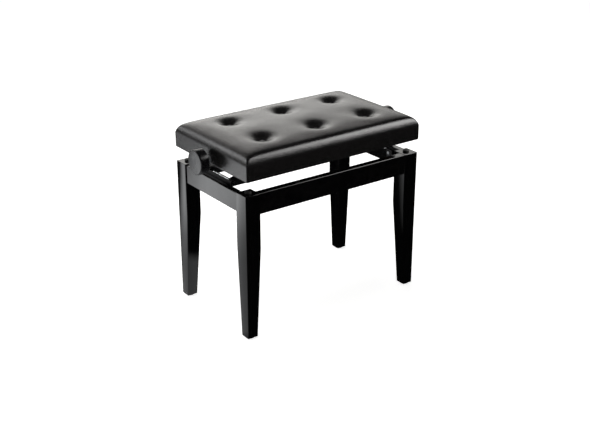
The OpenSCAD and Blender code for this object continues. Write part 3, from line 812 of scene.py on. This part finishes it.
# %% The resting shape, before the cloth is stretched
END_ROLL, SIDE_ROLL = 0.0080, 0.0055      # reach of the quick roll, at ends and long sides
SLOW_ROLL = 0.030                         # reach of the slow crown
QUICK_SHARE = 0.58                        # how much of the rise the quick roll takes
MITRE_SHARPNESS = 5
GATHER = 0.15
PIT_REACH, PIT_FLOOR = 0.060, 0.006       # radii where a pit starts and where it is flat
PIT_FALL = 2.7                            # higher is a narrower pit with wider shoulders
ROLL_START = shoulder - 0.004             # where the side begins to roll over
ROLL_RISE = cover_high.z - 0.0006 - ROLL_START
PIT_DEPTH = cover_high.z - button_foot - 0.001


def roll(distance, quick):
    """Share of the full height at a distance in from the rim: a quick roll, then a slow crown."""
    d = max(0.0, distance)
    return (1.0 - QUICK_SHARE * math.exp(-d / quick)
            - (1.0 - QUICK_SHARE) * math.exp(-d / SLOW_ROLL))


def mitred(first, second):
    """The lower of two shares, but without a hard line where they meet at a corner."""
    power, least = MITRE_SHARPNESS, 1e-3
    both = max(first, least) ** -power + max(second, least) ** -power
    return (both - 1.0) ** (-1.0 / power)


def pit_share(distance):
    """1 at a button, falling smoothly to 0 at the pit's reach."""
    t = min(1.0, max(0.0, (distance - PIT_FLOOR) / (PIT_REACH - PIT_FLOOR)))
    return (1.0 - t) ** PIT_FALL


def resting_height(x, y):
    rise = ROLL_RISE * mitred(roll(half_x - abs(x), END_ROLL), roll(half_y - abs(y), SIDE_ROLL))
    pull = max(pit_share(math.hypot(x - a, y - b)) for a, b in TUFTS)
    return ROLL_START + rise - PIT_DEPTH * pull


def gathered(share):
    """Moves grid lines towards the rim, where the surface turns quickest."""
    return share + GATHER * math.sin(math.pi * share)


# %% Lay the grid and shape it
GRID_X, GRID_Y = 110, 68
put_down_everything()
bpy.ops.mesh.primitive_grid_add(
    x_subdivisions=GRID_X, y_subdivisions=GRID_Y, size=2.0, location=(0.0, 0.0, 0.0))
cover = fix_place(bpy.context.object, "tufted_cover")
for vertex in cover.data.vertices:
    x = half_x * gathered(vertex.co.x)
    y = half_y * gathered(vertex.co.y)
    vertex.co = (x, y, resting_height(x, y))

SIDE_RINGS = 9
edit(cover)
pick("EDGE", lambda e: e.is_boundary)
drop = (ROLL_START - cover_low.z) / SIDE_RINGS
for _ in range(SIDE_RINGS):
    bpy.ops.mesh.extrude_region_move(TRANSFORM_OT_translate={"value": (0.0, 0.0, -drop)})
put_down_everything()
print("cover grid", len(cover.data.polygons), "faces")

# %% [markdown]
# ### Stretching it with cloth
# Pressure stands in for the foam that pushes outwards. The vertices that staples and
# buttons hold go into a pin group. Twenty steps are enough; a cap on how far a point may
# move keeps the seat inside its box.

# %% Pin, press and settle
CLOTH_FRAMES = 20
MOST_MOVE = 0.005
LOOSE_FROM = 0.030            # distance in from the rim where the sheet is free
held = cover.vertex_groups.new(name="held")
for vertex in cover.data.vertices:
    x, y, _ = vertex.co
    at_button = min(math.hypot(x - a, y - b) for a, b in TUFTS) < button_radius * 0.8
    from_rim = min(half_x - abs(x), half_y - abs(y))
    hold = 1.0 if at_button else max(0.0, 1.0 - from_rim / LOOSE_FROM)
    if hold > 0.0:
        held.add([vertex.index], hold, "REPLACE")


def settle(piece):
    """Runs the cloth, then eases each move so that none goes past the most allowed."""
    before = [v.co.copy() for v in piece.data.vertices]
    cloth = piece.modifiers.new("stretched", "CLOTH")
    cloth.settings.vertex_group_mass = "held"
    cloth.settings.quality = 6
    cloth.settings.mass = 0.4
    cloth.settings.tension_stiffness = 15.0
    cloth.settings.compression_stiffness = 15.0
    cloth.settings.shear_stiffness = 5.0
    cloth.settings.bending_stiffness = 0.8
    cloth.settings.use_pressure = True
    cloth.settings.uniform_pressure_force = 1.2
    cloth.settings.effector_weights.gravity = 0.0
    scene = bpy.context.scene
    for step in range(1, CLOTH_FRAMES + 1):
        scene.frame_set(step)
    only(piece)
    bpy.ops.object.modifier_apply(modifier=cloth.name)
    scene.frame_set(1)
    furthest = 0.0
    for vertex, start in zip(piece.data.vertices, before):
        move = vertex.co - start
        furthest = max(furthest, move.length)
        if move.length > 0.0:
            eased = MOST_MOVE * math.tanh(move.length / MOST_MOVE)
            vertex.co = start + move * (eased / move.length)
    return furthest


print("cloth moved at most", round(settle(cover), 4), "m")
tops = [v.co.z for v in cover.data.vertices]
print("cover top", round(max(tops), 4), "CAD top", round(cover_high.z, 4))

# %% [markdown]
# ### Hem and lining
# The sheet folds under the side boards and is stapled there. We extrude the lower border
# inwards as the hem, then up and out round the boards and over them, which closes the
# piece into one solid round the box, so it has no open edge anywhere.

# %% Fold the hem and close the piece
edit(cover)


def border_move(width_x, width_y, height):
    """Extrudes the open border, brings it to a new half size, and lifts or drops it."""
    mesh = bmesh.from_edit_mesh(bpy.context.edit_object.data)
    ends = [v.co for v in mesh.verts if v.select]
    now_x, now_y = max(c.x for c in ends), max(c.y for c in ends)
    rise = height - ends[0].z
    bpy.ops.mesh.extrude_region_move(TRANSFORM_OT_translate={"value": (0.0, 0.0, rise)})
    bpy.ops.transform.resize(value=(width_x / now_x, width_y / now_y, 1.0),
                             center_override=(0.0, 0.0, height))


pick("EDGE", lambda e: e.is_boundary)
border_move(hem_in_x, hem_in_y, cover_low.z)
border_move(hem_in_x, hem_in_y, box_floor)
border_move(board_high.x, board_high.y, box_floor)
border_move(board_high.x, board_high.y, shoulder)
put_down_everything()
smooth = cover.modifiers.new("smooth", "SUBSURF")
smooth.levels = smooth.render_levels = 1
apply_all(cover)
edit(cover)
pick("EDGE", lambda e: e.is_boundary)
bpy.ops.mesh.edge_face_add()
put_down_everything()
face_outwards(cover)
only(cover)
bpy.ops.object.shade_smooth_by_angle(angle=math.radians(50))
dress(cover, "leatherette")
finish_piece(cover, "seat", "leatherette", "cover", "foam_pad")

# %% [markdown]
# ## Buttons
# A covered button is a domed disc under the same leatherette. A UV sphere pressed flat
# gives the dome, and shrinking its lower part gives the tucked edge.


# %% Model one button, then copy it to the six pits
BUTTON_DOME = 0.42            # height of the dome over its width
TUCK_Z = -0.0012              # below this the edge is tucked in
BUTTON_LIFT = 0.0024          # middle of the button above its foot


def make_button():
    put_down_everything()
    bpy.ops.mesh.primitive_uv_sphere_add(segments=32, ring_count=16, radius=button_radius)
    piece = fix_place(bpy.context.object, "covered_button")
    edit(piece)
    bpy.ops.mesh.select_all(action="SELECT")
    bpy.ops.transform.resize(value=(1.0, 1.0, BUTTON_DOME), center_override=(0.0, 0.0, 0.0))
    pick("VERT", lambda v: v.co.z < TUCK_Z)
    bpy.ops.transform.resize(value=(0.82, 0.82, 0.6), center_override=(0.0, 0.0, TUCK_Z))
    put_down_everything()
    only(piece)
    bpy.ops.object.shade_smooth()
    dress(piece, "leatherette")
    return piece


button = make_button()
buttons = []
for number, (x, y) in enumerate(TUFTS, 1):
    only(button)
    bpy.ops.object.duplicate()
    copy = bpy.context.object
    copy.location = (x, y, button_foot + BUTTON_LIFT)
    buttons.append(fix_place(copy, f"covered_button_{number}"))
bpy.data.objects.remove(button)
for number, piece in enumerate(buttons):
    finish_piece(piece, "seat", "leatherette", *(["buttons"] if number == 0 else []))

# %% [markdown]
# ## The lift and the box
# The steel lift, its pins and the boards keep their CAD shape: every hole and slot there
# is real. They only need their finishes, which the record's slots name.

# %% Dress the CAD pieces that stay
slots = {s["node"]: s["material_slot"] for s in frame["record"]["subparts"]}
for name, node in frame["nodes"].items():
    if not node.hide_render:
        dress(node, slots[name])
print("CAD pieces shown", sum(not n.hide_render for n in frame["nodes"].values()))
